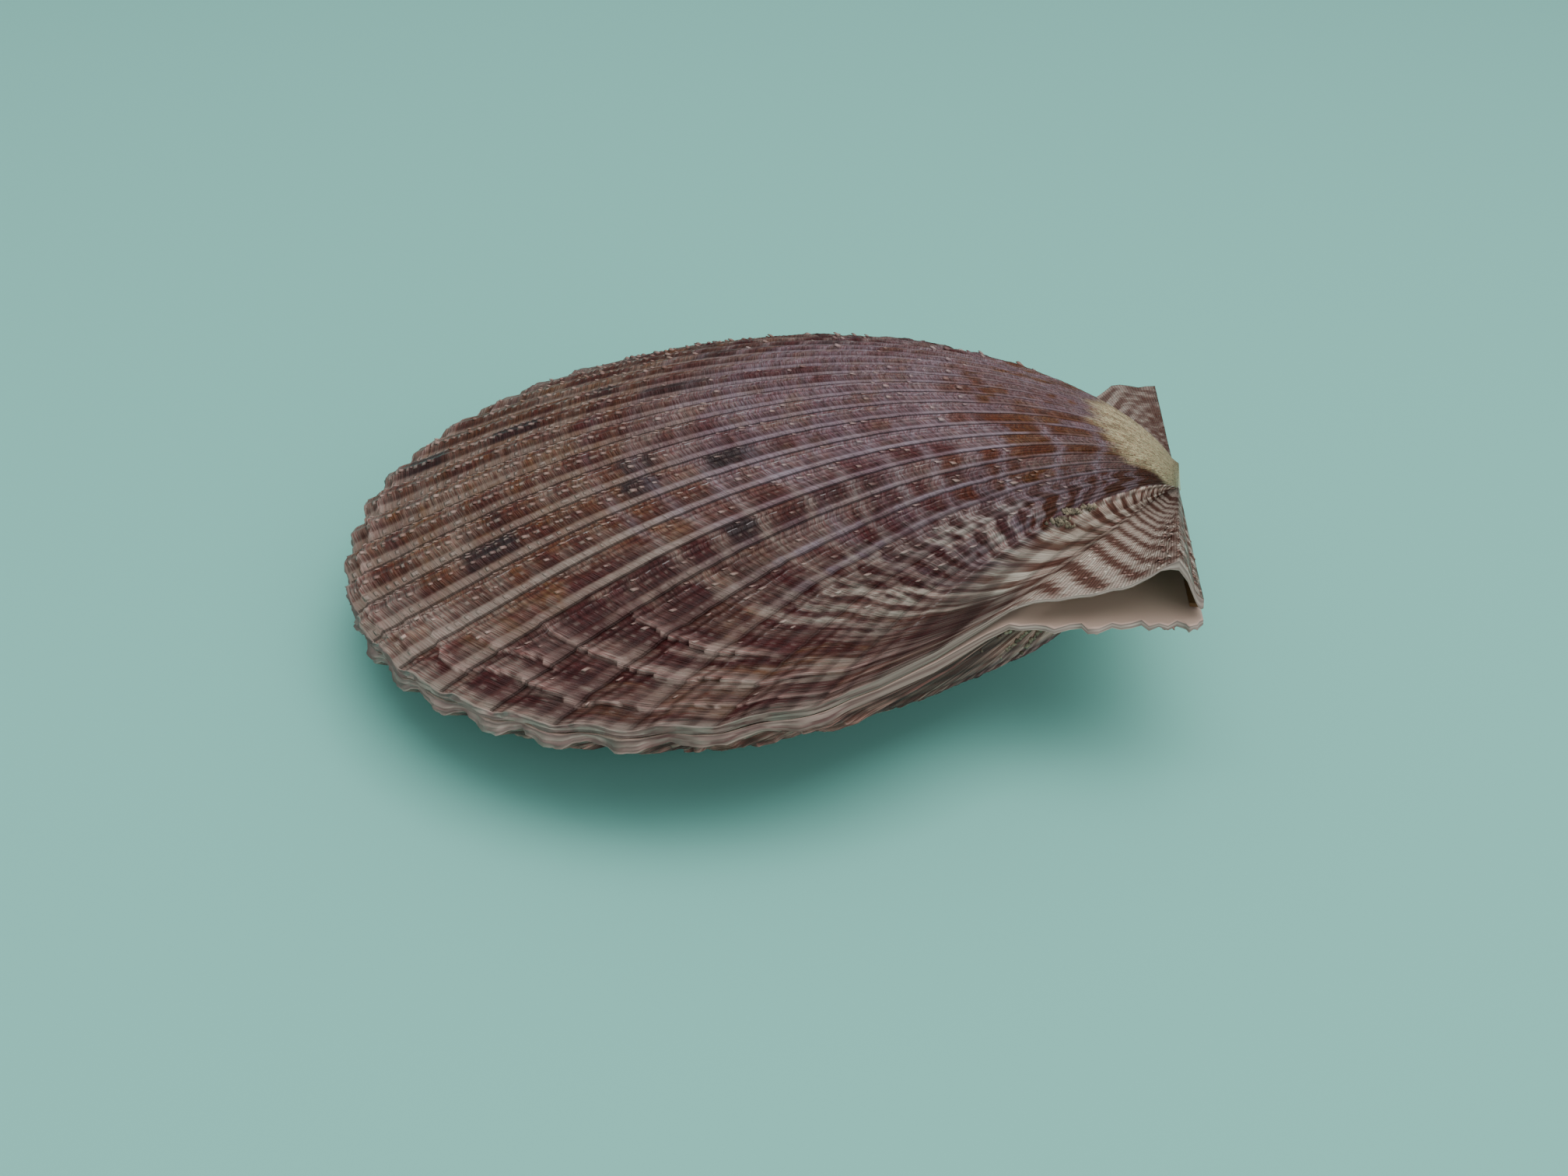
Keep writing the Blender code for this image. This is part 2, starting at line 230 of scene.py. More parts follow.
def outline(theta, size, right):
    """Distance from the beak to the edge.

    The disc's edge is an ellipse round the disc's centre. An ear's free edge is a straight line with small
    chips and tips. The right valve's front ear has the byssal notch, a bell curve taken out of the line, and
    the left valve's front ear ends at a second, slanted line.
    """
    cosine = np.cos(np.clip(theta, -FLANK, FLANK))
    sine = np.sin(np.clip(theta, -FLANK, FLANK))
    half_height = SHELL_HEIGHT - DISC_CENTRE
    a = (cosine / half_height) ** 2 + (sine / DISC_HALF_WIDTH) ** 2
    b = DISC_CENTRE * cosine / half_height ** 2
    c = (DISC_CENTRE / half_height) ** 2 - 1.0
    disc = (b + np.sqrt(b * b - a * c)) / a
    degrees = np.degrees(theta)
    ear_angle = np.maximum(np.abs(theta), FLANK + FLANK_STEP)
    ear = np.where(theta > 0, REAR_EAR, FRONT_EAR) / (np.sin(ear_angle) - EAR_EDGE_SLOPE * np.cos(ear_angle))
    if right:
        past_wall = np.degrees(np.abs(theta) - FLANK - FLANK_STEP)
        notch = np.exp(-((past_wall - 2.5) / 4.5) ** 2) * (theta < 0) * smooth(size, 0.05, 0.35)
        ear = ear * (1.0 - NOTCH_DEPTH * notch)
    else:
        slanted = FRONT_EAR_CUT / (np.sin(ear_angle) + FRONT_EAR_CUT_SLOPE * np.cos(ear_angle))
        ear = np.where(theta < 0, np.minimum(ear, slanted), ear)
    chips = (rough(degrees * 0.9, size * 3, 5 + right) - 0.5) * EAR_CHIPS[right]
    tips = EAR_TIP * smooth(rough(degrees * 0.6, 0, 6), 0.40, 0.62) * (1.0 if right else 0.25)
    ear = ear + (chips + tips) * size ** 4
    share = np.where(theta < 0, smooth(-theta, FLANK, FLANK + 0.6 * FLANK_STEP), ear_share(theta))
    teeth = 1.0 - 0.006 * size ** 6 * rough(degrees * 0.8, 0, 7 + right)
    return disc * (1.0 - share) * teeth + ear * share


def rib_phase(theta, size, right):
    """Which rib a place is on, whole in the grooves. The left valve's ribs bow a little to the front."""
    bow = 0.0 if right else 0.17 * smooth(size, 0.22, 0.42) * fade(size, 0.62, 0.95)
    return (theta / FLANK + 1.0) / 2.0 * RIB_COUNT + RIB_SHIFT + (0.5 if right else 0.0) + bow


def rib(theta, size, right):
    """0 in a groove, 1 on a broad crest, fading out beside the ears."""
    wave = 1.0 - np.abs(np.cos(np.pi * rib_phase(theta, size, right))) ** 2.3
    return wave * (1.0 - ear_share(theta))


def knobs(theta, size):
    """Height of the three uneven spots on which the right valve lies: bell curves over rib and size."""
    height = 0.0
    for middle, at, rise in REST_KNOBS:
        aside = (rib_phase(theta, size, True) - middle) / 0.25
        height = height + rise * np.exp(-aside ** 2 - ((size - at) / 0.04) ** 2)
    return height


def growth(theta, size):
    """The growth line a place is on, from 0 to 1: the lines sweep towards the edge down both flanks."""
    lean = np.abs(np.clip(theta / FLANK, -1.0, 1.0))
    sweep = 1.25 * np.clip(lean - 0.54, 0, 1) + 0.2 * smooth(lean, 0.9, 1.0)
    return size - sweep * size * (1.0 - size)


def gape(theta, right):
    """Height of the ear's free edge: the left valve's rear ear arches up and folds down at the hinge."""
    if right:
        return np.zeros_like(theta)
    degrees = np.degrees(theta)
    rise = 0.16 * smooth(degrees, 51, 58) + 0.24 * smooth(degrees, 58, 74) + 0.58 * smooth(degrees, 72, 83.5)
    return REAR_GAPE * rise * fade(degrees, 84.2, 89.7)


def growth_stops(theta, size, right):
    """Height of the overlapping sheets at the growth stops, and how near a place is to their ragged rims.

    Before each stop the height rises as an exponential of the distance to the rim, and drops at the rim.
    """
    phase = rib_phase(theta, size, right)
    lean = np.abs(theta / FLANK) if right else theta / FLANK
    line = growth(theta, size)
    height, rim = np.zeros_like(line), np.zeros_like(line)
    for k, (at, depth, start) in enumerate(STOPS):
        ragged = at + 0.044 * (rough(phase * 0.9, k, 20 + k + 9 * right) - 0.5)
        ragged = ragged + 0.012 * (rough(phase * 4.1, k, 26 + k) - 0.5)
        behind = ragged - line
        weight = smooth(lean, start, start + 0.25) * (1.0 - ear_share(theta))
        weight = weight * smooth(noise(phase * 0.45, 7 * k, 29 + k), 0.22, 0.45)
        height += weight * depth * np.exp(-np.clip(behind, 0, 1) / SHEET_FADE) * (behind > 0)
        rim = np.maximum(rim, weight * np.exp(-np.clip(behind, 0, 1) / RIM_FADE) * (behind > 0))
    return height, rim


def relief(theta, size, right):
    """Height of ribs, riblets, flank wrinkles and growth stops over the smooth valve.

    Ribs and riblets are waves of the rib number, wrinkles are noise stretched along the growth lines, and
    the ears have riblets fanning out near the hinge.
    """
    phase = rib_phase(theta, size, right)
    line = growth(theta, size)
    lean = np.abs(np.clip(theta / FLANK, -1.0, 1.0))
    ear = ear_share(theta)
    disc = 1.0 - ear
    height = RIB_HEIGHT * rib(theta, size, right) * size
    height = height - RIBLET_HEIGHT * np.cos(TURN * 4 * phase) * smooth(size, 0.1, 0.6) * disc
    wiggle = 0.010 * np.cos(TURN * phase) * smooth(lean, 0.3, 0.6)
    wiggle = wiggle + 0.02 * noise(phase * 0.6, line * 9, 31)
    wrinkle = rough((line + wiggle) * 40, phase * 0.35, 33)
    fine = rough((line + wiggle) * 110, phase * 0.8, 36)
    flank = smooth(lean, 0.45, 0.85) * disc * (1.0 - 0.7 * smooth(lean, 0.93, 1.0))
    wrinkles = WRINKLE_HEIGHT * (wrinkle - 0.5) + FINE_WRINKLE_HEIGHT * (fine - 0.5)
    height = height + flank * wrinkles * smooth(size, 0.1, 0.4)
    height = height + GRAIN_HEIGHT * (fine - 0.5) * disc
    stops, _ = growth_stops(theta, size, right)
    degrees = np.degrees(np.abs(theta))
    riblets = np.cos(TURN * (degrees - 76) / EAR_RIBLET_PITCH)
    riblets = riblets * smooth(degrees, 74, 79) * smooth(size, 0.15, 0.5)
    ear_grain = rough(degrees * 0.35, size * 22, 41) - 0.5
    height = height + ear * (EAR_RIBLET_HEIGHT * riblets + EAR_GRAIN_HEIGHT * ear_grain)
    if right:
        height = height + knobs(theta, size)
    return height + stops * smooth(size, 0.5, 0.8)


def valve_surfaces(theta, size, right):
    """Outer and inner points of a valve in the shell's frame, and the directions in which relief rises.

    Every growth line is the shell's edge made smaller by size and turned about the hinge by the curl times
    the logarithm of 1 / size. Thickness and relief are measured along a fan of directions that leans from
    straight up on the middle line to the sides on the flanks. The right valve has an inner shelf beside its
    ears, and close to the edge the inside turns straight down from the outside.
    """
    share = ear_share(theta)
    disc = 1.0 - share
    curl = RIGHT_CURL if right else LEFT_CURL
    middle_turn = curl * np.log(1.0 / size)
    lean = np.clip(theta / FLANK, -1.0, 1.0)
    turn = (curl * disc + EAR_CURL * share) * np.log(1.0 / size)
    turn = turn + FLANK_SWELL * np.abs(lean) ** 3 * disc * size * (1.0 - size)
    reach = size * outline(theta, size, right)
    across = reach * np.sin(theta)
    along = reach * np.cos(theta)
    wave = COMMISSURE_WAVE * (rib(theta, size, False) - 0.5) * disc * size ** 6
    if right:
        wave = -wave
    degrees = np.degrees(np.abs(theta))
    gap_share = smooth(degrees, 51.5, 55.0)
    floor = EDGE_GAP + (HINGE_GAP - EDGE_GAP) * gap_share + wave + size * gape(theta, right)
    ear_edge = EAR_WALL - (RIGHT_EAR_THINNING * smooth(size, 0.55, 1.0) if right else 0.0)
    edge = EDGE * disc + ear_edge * share
    outer = np.stack((along * np.cos(turn), across, along * np.sin(turn) + floor + edge), -1)
    fan_u = curl * np.cos(middle_turn) - np.sin(middle_turn)
    fan_w = np.cos(middle_turn) + curl * np.sin(middle_turn)
    length = np.hypot(fan_u, fan_w)
    tilt = FAN_ANGLE * lean * disc
    fan = (np.cos(tilt) * fan_u / length * disc, np.sin(tilt), np.cos(tilt) * fan_w / length)
    fan = np.stack(fan, -1)
    folded = smooth(np.degrees(theta), 79.0, 85.0)
    thinning = 0.0 if right else LEFT_EAR_THINNING
    ear_wall = EAR_WALL - thinning * smooth(size, 0.5, 1.0) * (1.0 - folded)
    thickness = (WALL - (WALL - EDGE) * smooth(size, 0.7, 1.0)) * disc + ear_wall * share
    inner = outer - fan * thickness[..., None]
    inner[..., 2] = np.maximum(inner[..., 2], floor)
    shelf = smooth(degrees, 45.5, 49.0) * (1.0 if right else 0.0) * smooth(size, 0.3, 0.45)
    inner[..., 2] = inner[..., 2] * (1.0 - shelf) + np.minimum(floor, outer[..., 2] - SHELF_WALL) * shelf
    below_edge = np.stack((outer[..., 0], outer[..., 1], floor), -1)
    down = smooth(size, 0.985, 1.0) * disc
    inner = inner * (1.0 - down[..., None]) + below_edge * down[..., None]
    return outer + fan * relief(theta, size, right)[..., None], inner, fan


def turned_over(points, right):
    """Points turned half round, so that the hinge is ahead, and upside down for the right valve."""
    return points * np.array((-1.0, -1.0, -1.0 if right else 1.0))


def fill(shape, colour):
    """One colour everywhere."""
    return np.broadcast_to(np.asarray(colour, float), shape + (3,)).copy()


def mix(a, b, share):
    """Colours a fading to the colour or colours b by a share given for each place."""
    return a * (1.0 - share[..., None]) + np.broadcast_to(np.asarray(b, float), a.shape) * share[..., None]


class Disc:
    """Where each place lies on the disc, and the noises and soft shares that steer its colours.

    late rises from 0 to 1 towards the edge, early is 1 near the umbo, and rear is 1 down on both flanks.
    """

    def __init__(self, theta, size, right):
        self.theta, self.size, self.right = theta, size, right
        self.phase = rib_phase(theta, size, right)
        self.number = np.floor(self.phase)
        self.across = self.phase - self.number
        self.lean = theta / FLANK
        self.side = np.abs(self.lean)
        arch = np.sin(np.pi * self.across) ** 2
        self.line = growth(theta, size) + 0.005 * arch * smooth(self.side, 0.2, 0.6)
        self.tone = lattice(self.number, 0, 50 + right)
        self.patch = noise(self.line * 15 + self.tone * 31, self.number * 7.31, 51 + right)
        riblet = np.floor(self.across * 4)
        self.shift = noise(self.line * 40 + self.tone * 17, self.number * 3.7 + riblet * 0.35, 53 + right)
        self.streak = rough(self.line * 75, self.phase * 1.6, 57)
        self.fine = rough(self.line * 120, self.phase * 4.5, 69)
        self.late = smooth(self.line, 0.56, 0.74)
        self.rear = smooth(self.side, 0.36, 0.58)
        self.early = fade(self.line, 0.27, 0.37)


def rib_stretches(disc):
    """Squarish stretches along each rib, brown where the rib's noise is high and tan or lilac elsewhere."""
    early, late, rear, shape = disc.early, disc.late, disc.rear, disc.line.shape
    light = mix(fill(shape, TAN), LILAC, (1 - late) * (0.75 - 0.35 * rear))
    light = mix(light, PINK_TAN, late * smooth(disc.shift, 0.30, 0.70) * 0.8)
    light = mix(light, OCHRE, late * smooth(disc.streak, 0.48, 0.60) * 0.75)
    brown = mix(fill(shape, MAROON), OCHRE, np.clip(early * 0.8 + late * (1 - rear) * 0.85, 0, 1))
    brown = mix(brown, RUST, 0.45 * (1 - rear * late) * smooth(disc.tone, 0.3, 0.8))
    deep = late * rear * 0.55 + 0.6 * rear * (1 - early) * smooth(disc.tone, 0.2, 0.7)
    brown = mix(brown, DEEP_MAROON, np.clip(deep, 0, 0.8))
    back = (1 - early) * (1 - late) * (1 - rear)
    threshold = 0.43 + 0.30 * back - 0.04 * rear * late + 0.05 * early + 0.06 * late * (1 - rear)
    share = smooth(disc.patch + 0.10 * (disc.shift - 0.5), threshold - 0.03, threshold + 0.04)
    banded = early * fade(disc.lean, 0.10, 0.32)
    streaks = (0.25 + 0.75 * smooth(disc.streak, 0.44, 0.58)) * smooth(disc.patch, 0.2, 0.6)
    share = share * (1 - banded) + banded * streaks
    ground = mix(light, brown, share * (0.72 + 0.28 * np.maximum(rear, early)))
    return mix(ground, TAN, back * smooth(disc.streak, 0.52, 0.64) * 0.5)


def zones_and_spots(ground, disc):
    """Broad zones along the growth lines, pale spots where noise is high, maroon where it is low, and grain."""
    for at, half, colour, strength in GROWTH_ZONES:
        drift = at + 0.012 * (noise(disc.phase * 0.35, 40 * at, 70) - 0.5)
        ground = mix(ground, colour, strength * np.exp(-((disc.line - drift) / half) ** 2))
    spots = rough(disc.line * 50 + 7, disc.phase * 2.2, 77)
    ground = mix(ground, PINK_TAN, smooth(spots, 0.56, 0.66) * (0.25 + 0.45 * disc.late))
    ground = mix(ground, MAROON, fade(spots, 0.34, 0.44) * (0.20 + 0.40 * disc.late))
    return ground * (0.70 + 0.60 * disc.fine)[..., None]


def dark_stretches(ground, disc):
    """The stretches that stand out on the left valve's ribs, and a dark stripe before each pale band."""
    across = disc.across
    for number, at, half, colour, strength in () if disc.right else BLOTCHES:
        near = fade(np.abs(disc.line - at + 0.012 * (disc.fine - 0.5)) / half, 0.65, 1.1)
        near = near * (disc.number == number) * fade(across, 0.76, 0.84)
        ground = mix(ground, colour, near * strength * (0.8 + 0.2 * smooth(disc.streak, 0.35, 0.5)))
    stripe = smooth(across, 0.58, 0.64) * fade(across, 0.74, 0.82) * smooth(disc.line, 0.33, 0.45)
    return mix(ground, DEEP_MAROON, stripe * 0.45 * smooth(disc.patch, 0.25, 0.5))


def pale_bands(ground, disc):
    """A pale band before each groove and a narrow one after it, as strong as the rib's number says.

    The bands turn from lilac to tan towards the edge, and end in small scallops there.
    """
    late, size, side = disc.late, disc.size, disc.side
    scallop = 0.03 * np.cos(disc.line * GROWTH_TO_MM * TURN / SCALLOP_PITCH) * late
    band = smooth(disc.across, 0.775, 0.825) * (1 - 0.5 * smooth(disc.across, 0.97 + scallop, 1.0))
    strengths = np.array(BAND_STRENGTH)[np.clip(disc.number, 0, 24).astype(int)]
    gaps = smooth(noise(disc.line * 30, disc.number * 5.3, 67), 0.40, 0.60)
    strengths = strengths * (1 - 0.6 * (1 - late) * gaps)
    strengths = strengths * (0.75 + 0.25 * smooth(disc.shift, 0.3, 0.6)) * smooth(size, 0.15, 0.28)
    strengths = strengths * (1 - smooth(side, 0.78, 0.86) * (1 - 0.5 * smooth(size, 0.8, 1.0)))
    strengths = strengths * (1 - 0.65 * smooth(side, 0.45, 0.60) * smooth(size, 0.72, 0.82))
    pale = mix(fill(side.shape, PALE_LILAC), PALE_TAN, late)
    ground = mix(ground, pale, band * strengths)
    return mix(ground, pale, fade(disc.across, 0.03, 0.10) * 0.35 * strengths)


def cross_lines(ground, disc):
    """Pale lines across the ribs, wavy ridges and white squares on the flanks, and maroon between them."""
    line, phase, side = disc.line, disc.phase, disc.side
    crossing = np.zeros(line.shape)
    for k, at in enumerate(CROSS_LINES):
        drift = at + 0.006 * (noise(phase * 0.7, k, 59) - 0.5)
        uneven = 0.6 + 0.4 * lattice(disc.number, k, 60)
        crossing = np.maximum(crossing, np.exp(-((line - drift) / CROSS_LINE_WIDTH) ** 2) * uneven)
    wavy = line * 24 + 0.9 * noise(phase * 0.8, line * 12, 62) + 0.25 * np.cos(TURN * phase)
    ridges = smooth(np.sin(TURN * wavy), -0.1, 0.5) * smooth(side, 0.66, 0.86)
    crossing = np.maximum(crossing * (0.25 + 0.75 * smooth(side, 0.22, 0.5)), ridges * 0.8)
    crossing = crossing * smooth(disc.size, 0.13, 0.17) * fade(line, 0.68, 0.78)
    pale = mix(fill(line.shape, PALE_LILAC), PALE_TAN, disc.rear * smooth(line, 0.3, 0.6))
    ground = mix(ground, pale, crossing * (0.85 - 0.25 * disc.rear * disc.late))
    squares = smooth(side, 0.74, 0.88) * smooth(line, 0.22, 0.4)
    squares = squares * smooth(noise(wavy, phase * 1.1, 68), 0.45, 0.6)
    ground = mix(ground, WHITE, squares * crossing * 0.6)
    between = (1 - crossing) * smooth(side, 0.70, 0.85) * fade(line, 0.6, 0.75)
    return mix(ground, DEEP_MAROON, between * 0.55)


def flank_flakes(ground, disc):
    """Darker flanks, with pale flakes near the edge where noise is high and maroon between them."""
    line, phase, side = disc.line, disc.phase, disc.side
    ground = ground * (1 - 0.16 * smooth(side, 0.50, 0.66) * fade(line, 0.62, 0.75))[..., None]
    flake = smooth(rough(line * 44 + 0.3 * np.cos(TURN * phase), phase * 0.9, 61), 0.56, 0.64)
    ground = mix(ground, PALE_TAN, flake * smooth(side, 0.55, 0.85) * smooth(disc.size, 0.70, 0.88) * 0.7)
    ground = mix(ground, DEEP_MAROON, disc.late * smooth(side, 0.48, 0.70) * (1 - flake) * 0.35)
    tint = smooth(rough(line * 20 + 5, phase * 0.7, 64), 0.50, 0.60)
    return mix(ground, DEEP_MAROON, disc.late * tint * smooth(side, 0.45, 0.65) * 0.65)


def umbo_and_edge(ground, disc):
    """The cream umbo with its uneven border, the pale rims of the growth stops and the pale torn edge."""
    size, side = disc.size, disc.side
    ragged = 0.035 * (rough(disc.phase * 0.5, disc.line * 24, 66) - 0.5)
    umbo = fade(size + ragged + 0.06 * smooth(disc.lean, 0.55, 0.95), 0.130, 0.170)
    ground = mix(ground, CREAM, umbo)
    ground = mix(ground, TAN, smooth(size, 0.08, 0.12) * umbo * smooth(disc.streak, 0.55, 0.62) * 0.5)
    _, rim = growth_stops(disc.theta, size, disc.right)
    ground = mix(ground, RIM_PALE, rim * 0.8)
    torn = smooth(rough(disc.line * 34, disc.phase * 1.3, 78), 0.46, 0.60)
    torn = torn * (1 - 0.85 * smooth(side, 0.52, 0.70))
    ground = mix(ground, PALE_TAN, torn * smooth(size, 0.84, 0.96) * smooth(side, 0.15, 0.4) * 0.6)
    return mix(ground, PALE_TAN, smooth(size, 0.984, 0.996) * 0.6)


def paint_disc(theta, size, right):
    """Colours of the disc, laid on one after another from the stretches on the ribs to the pale edge."""
    disc = Disc(theta, size, right)
    ground = rib_stretches(disc)
    for lay in (zones_and_spots, dark_stretches, pale_bands, cross_lines, flank_flakes, umbo_and_edge):
        ground = lay(ground, disc)
    return ground


def paint_ear(theta, size, right):
    """Colours of the ears: cream with red-brown stripes that run slantwise from the disc to the hinge."""
    reach = size * outline(theta, size, right)
    across, along = np.abs(reach * np.sin(theta)), reach * np.cos(theta)
    degrees = np.degrees(np.abs(theta))
    slant = (across + EAR_STRIPE_SLANT * along) / SHELL_HEIGHT
    slant = slant + 0.018 * (rough(slant * 22, across * 150, 71) - 0.5)
    count = np.interp(slant, EAR_STRIPES, np.arange(len(EAR_STRIPES)))
    grain = rough(across * 1100, along * 1100, 73)
    stripes = smooth(np.cos(TURN * count) + grain - 0.5, -0.15, 0.35)
    flecks = 0.65 * smooth(grain, 0.5, 0.75) * smooth(degrees, 60, 76)
    ground = mix(fill(theta.shape, WHITE), PINK_TAN, flecks)
    ground = mix(ground, EAR_BROWN, stripes * 0.92)
    ground = mix(ground, PALE_TAN, (theta < 0) * 0.35)
    hinge = smooth(degrees, 76, 84)
    ground = mix(ground, PINK_TAN, hinge * 0.35)
    ground = mix(ground, RUST, hinge * 0.7 * smooth(noise(reach * 1300, degrees * 0.8, 75), 0.45, 0.6))
    return mix(ground, WHITE, smooth(size, 0.955, 0.985) * (1 - hinge) * 0.6)


def paint(theta, size, right):
    """Colours of a valve's outside: disc, ears, and dirt in the corner between them.

    The border between disc and ear is an uneven line that moves out towards the edge.
    """
    degrees = np.degrees(np.abs(theta))
    start = 47.3 + 1.4 * smooth(size, 0.38, 0.62) + 2.2 * smooth(size, 0.66, 0.84)
    start = start + 0.5 * (noise(size * 22, 0, 84) - 0.5)
    on_ear = smooth(degrees, start, start + 1.0)
    ground = mix(paint_disc(theta, size, right), paint_ear(theta, size, right), on_ear)
    corner = np.exp(-((degrees - 51.5) / 1.3) ** 2)
    grime = corner * smooth(rough(size * 60, degrees * 0.9, 81), 0.45, 0.6) * smooth(size, 0.30, 0.38)
    if right:
        ground = ground * np.array(RIGHT_TINT)
    return mix(ground, DIRT, grime * fade(size, 0.50, 0.58) * 0.8)


def columns():
    """Angles of the mesh columns from the front hinge end round to the rear one."""
    disc = np.linspace(-FLANK, FLANK, RIB_COLUMNS * RIB_COUNT + 1)
    wall = FLANK + FLANK_STEP * np.array((0.25, 0.5, 0.75, 1.0))
    rear = np.radians(np.concatenate((np.linspace(54, 86, 17), np.linspace(86.6, 90, 8))))
    front = np.radians(np.linspace(54, 90, 17))
    return np.concatenate((-front[::-1], -wall[::-1], disc, wall, rear))


def torn_edge(theta, rim_outer, rim_inner, right):
    """Rows of points across the edge of the wall, which stand out by turns like torn layers.

    A row lies at its share of the way between the rims, moved outwards by noise along the edge. Two of the
    layers have teeth on the crests of the ribs.
    """
    degrees = np.degrees(theta)
    disc = 1 - ear_share(theta)
    outward = np.stack((np.cos(theta), np.sin(theta), 0 * theta), -1)
    crests = np.clip(rib(theta, 1.0, right) - 0.6, 0, 1)
    lowest = np.minimum(rim_inner[:, 2], rim_outer[:, 2])
    rows = []
    for k, share in enumerate(EDGE_LAYERS):
        torn = rough(degrees * 1.9, 5 * (k // 2), 90) + 0.5 * rough(degrees * 0.5, k, 92)
        flake = (FLAKE_REACH if k % 2 == 0 else FLAKE_DIP) * (torn - 0.35)
        flake = (flake + crests * TOOTH_REACH * (k in TOOTHED_LAYERS)) * disc
        lift = LAYER_LIFT * (rough(degrees * 0.8, 9 * k, 96) - 0.5) * disc
        row = rim_outer * (1 - share) + rim_inner * share + outward * flake[:, None]
        row[:, 2] = np.clip(row[:, 2] + lift, lowest, None)
        rows.append(row)
    return rows


def paint_edge(theta):
    """Colours of the torn layers: dark, mauve and pale by turns, with maroon stretches on the flanks."""
    degrees = np.degrees(theta)
    flank = smooth(np.abs(theta) / FLANK, 0.62, 0.90) * fade(degrees, 52.5, 54.0)
    rows = []
    for k in range(len(EDGE_LAYERS)):
        along = rough(degrees * 0.30, 3 * k, 95)
        grain = rough(degrees * 1.5, 3 * k, 97)
        dark = (0.85 if k in DARK_LAYERS else 0.35) * smooth(along, 0.35, 0.6)
        sheet = mix(fill(theta.shape, RIM_MAUVE), RIM_DARK, dark)
        sheet = mix(sheet, RIM_PALE, (0.95 if k in PALE_LAYERS else 0.3) * smooth(along, 0.25, 0.5))
        sheet = mix(sheet, PINK_TAN, 0.5 * flank)
        stretches = smooth(rough(degrees * 0.7, k, 98), 0.42, 0.55)
        sheet = mix(sheet, MAROON, 0.7 * flank * stretches)
        rows.append(sheet * (0.65 + 0.7 * grain)[:, None])
    return rows


def beak_and_plate(theta, right):
    """The first and last row of a valve: a small arch round the beak, and the rim of the flat hinge plate."""
    flank_end = FLANK + FLANK_STEP
    bow = np.clip(theta / flank_end, -1, 1) * math.pi / 2
    beyond = np.clip(np.abs(theta) - flank_end, 0, None) / (math.pi / 2 - flank_end)
    beak_row = np.stack((0 * theta, BEAK_HALF_WIDTH * (np.sin(bow) + 0.4 * beyond * np.sign(theta)),
                         HINGE_GAP + EAR_WALL + BEAK_RISE * np.cos(bow)), -1)
    reach = PLATE_SIZE * outline(theta, PLATE_SIZE, right)
    plate = np.stack((reach * np.cos(theta), reach * np.sin(theta), HINGE_GAP + 0 * theta), -1)
    return beak_row, plate


def strip(first, second):
    """Triangles between two lines of vertex numbers with any number of points in each."""
    faces = []
    i = j = 0
    while i < len(first) - 1 or j < len(second) - 1:
        behind = (i + 1) * (len(second) - 1) <= (j + 1) * (len(first) - 1)
        if j == len(second) - 1 or (i < len(first) - 1 and behind):
            faces.append((first[i], first[i + 1], second[j]))
            i += 1
        else:
            faces.append((first[i], second[j + 1], second[j]))
            j += 1
    return faces


def valve_faces(index, outside_rows, centre, beak, right):
    """Faces of a valve, outwards: quads between the rows, strips over both hinge ends, and two fans.

    index holds the vertex numbers row by row. It gives the faces and each one's material: outside, inside
    or edge.
    """
    quads = np.stack((index[:-1, :-1], index[1:, :-1], index[1:, 1:], index[:-1, 1:]), -1).reshape(-1, 4)
    quad_rows = np.repeat(np.arange(index.shape[0] - 1), index.shape[1] - 1)
    edge_end = outside_rows - 1 + len(EDGE_LAYERS)
    kinds = np.where(quad_rows > edge_end, 1, np.where(quad_rows >= outside_rows - 1, 2, 0))
    ends = []
    for column, turned in ((0, True), (-1, False)):
        shell_side = list(index[:outside_rows, column])
        hollow_side = [centre] + list(index[outside_rows:, column])[::-1]
        ends += [face[::-1] if turned else face for face in strip(shell_side, hollow_side)]
    fans = [(centre, a, b) for a, b in zip(index[-1, 1:], index[-1, :-1])]
    ring = list(index[0]) + [centre]
    fans += [(a, b, beak) for a, b in zip(ring, ring[1:] + ring[:1])]
    faces = quads.tolist() + [tuple(int(i) for i in face) for face in ends + fans]
    if right:
        faces = [face[::-1] for face in faces]
    return faces, np.concatenate((kinds, np.zeros(len(ends), int), np.ones(len(fans), int)))


def weave_places(theta, size, right):
    """What the weave runs along: the rib number, counted on over the ears, and the growth in millimetres."""
    degrees = np.degrees(theta)
    phase = rib_phase(theta, size, right)
    ear_lines = np.sign(degrees) * (np.abs(degrees) - EAR_START) / 10.4
    share = ear_share(theta)
    number = phase * (1 - share) + (phase + ear_lines) * share
    return np.stack((number, growth(theta, size) * GROWTH_TO_MM), -1)


def weave_weights(theta, size):
    """Where the weave shows its beads, dashes and dark grooves.

    Beads lie on the front and the back near the edge, dashes from the back to the rear flank, grooves all
    over the disc but weaker on the flanks. The dashes are painted highlights, glints on the riblets, and the
    dark grooves are painted shade.
    """
    disc = 1 - ear_share(theta)
    lean = theta / FLANK
    line = growth(theta, size)
    beads = smooth(line, 0.60, 0.80) * fade(lean, 0.30, 0.55) + 0.35 * smooth(line, 0.3, 0.5)
    # Painted highlight: where the glints on the riblets show
    dashes = smooth(line, 0.24, 0.36) * fade(line, 0.84, 0.98) * smooth(lean, -0.35, 0.1)
    dashes = dashes * (1 - 0.8 * smooth(lean, 0.35, 0.7)) * (1 - 0.6 * smooth(line, 0.7, 0.8))
    # Weight of the painted groove shade, which also scales the groove's dip in the bump
    grooves = disc * smooth(size, 0.14, 0.3) * (1 - 0.7 * smooth(np.abs(lean), 0.6, 0.85))
    return np.stack((beads * disc, dashes * disc, grooves), -1)


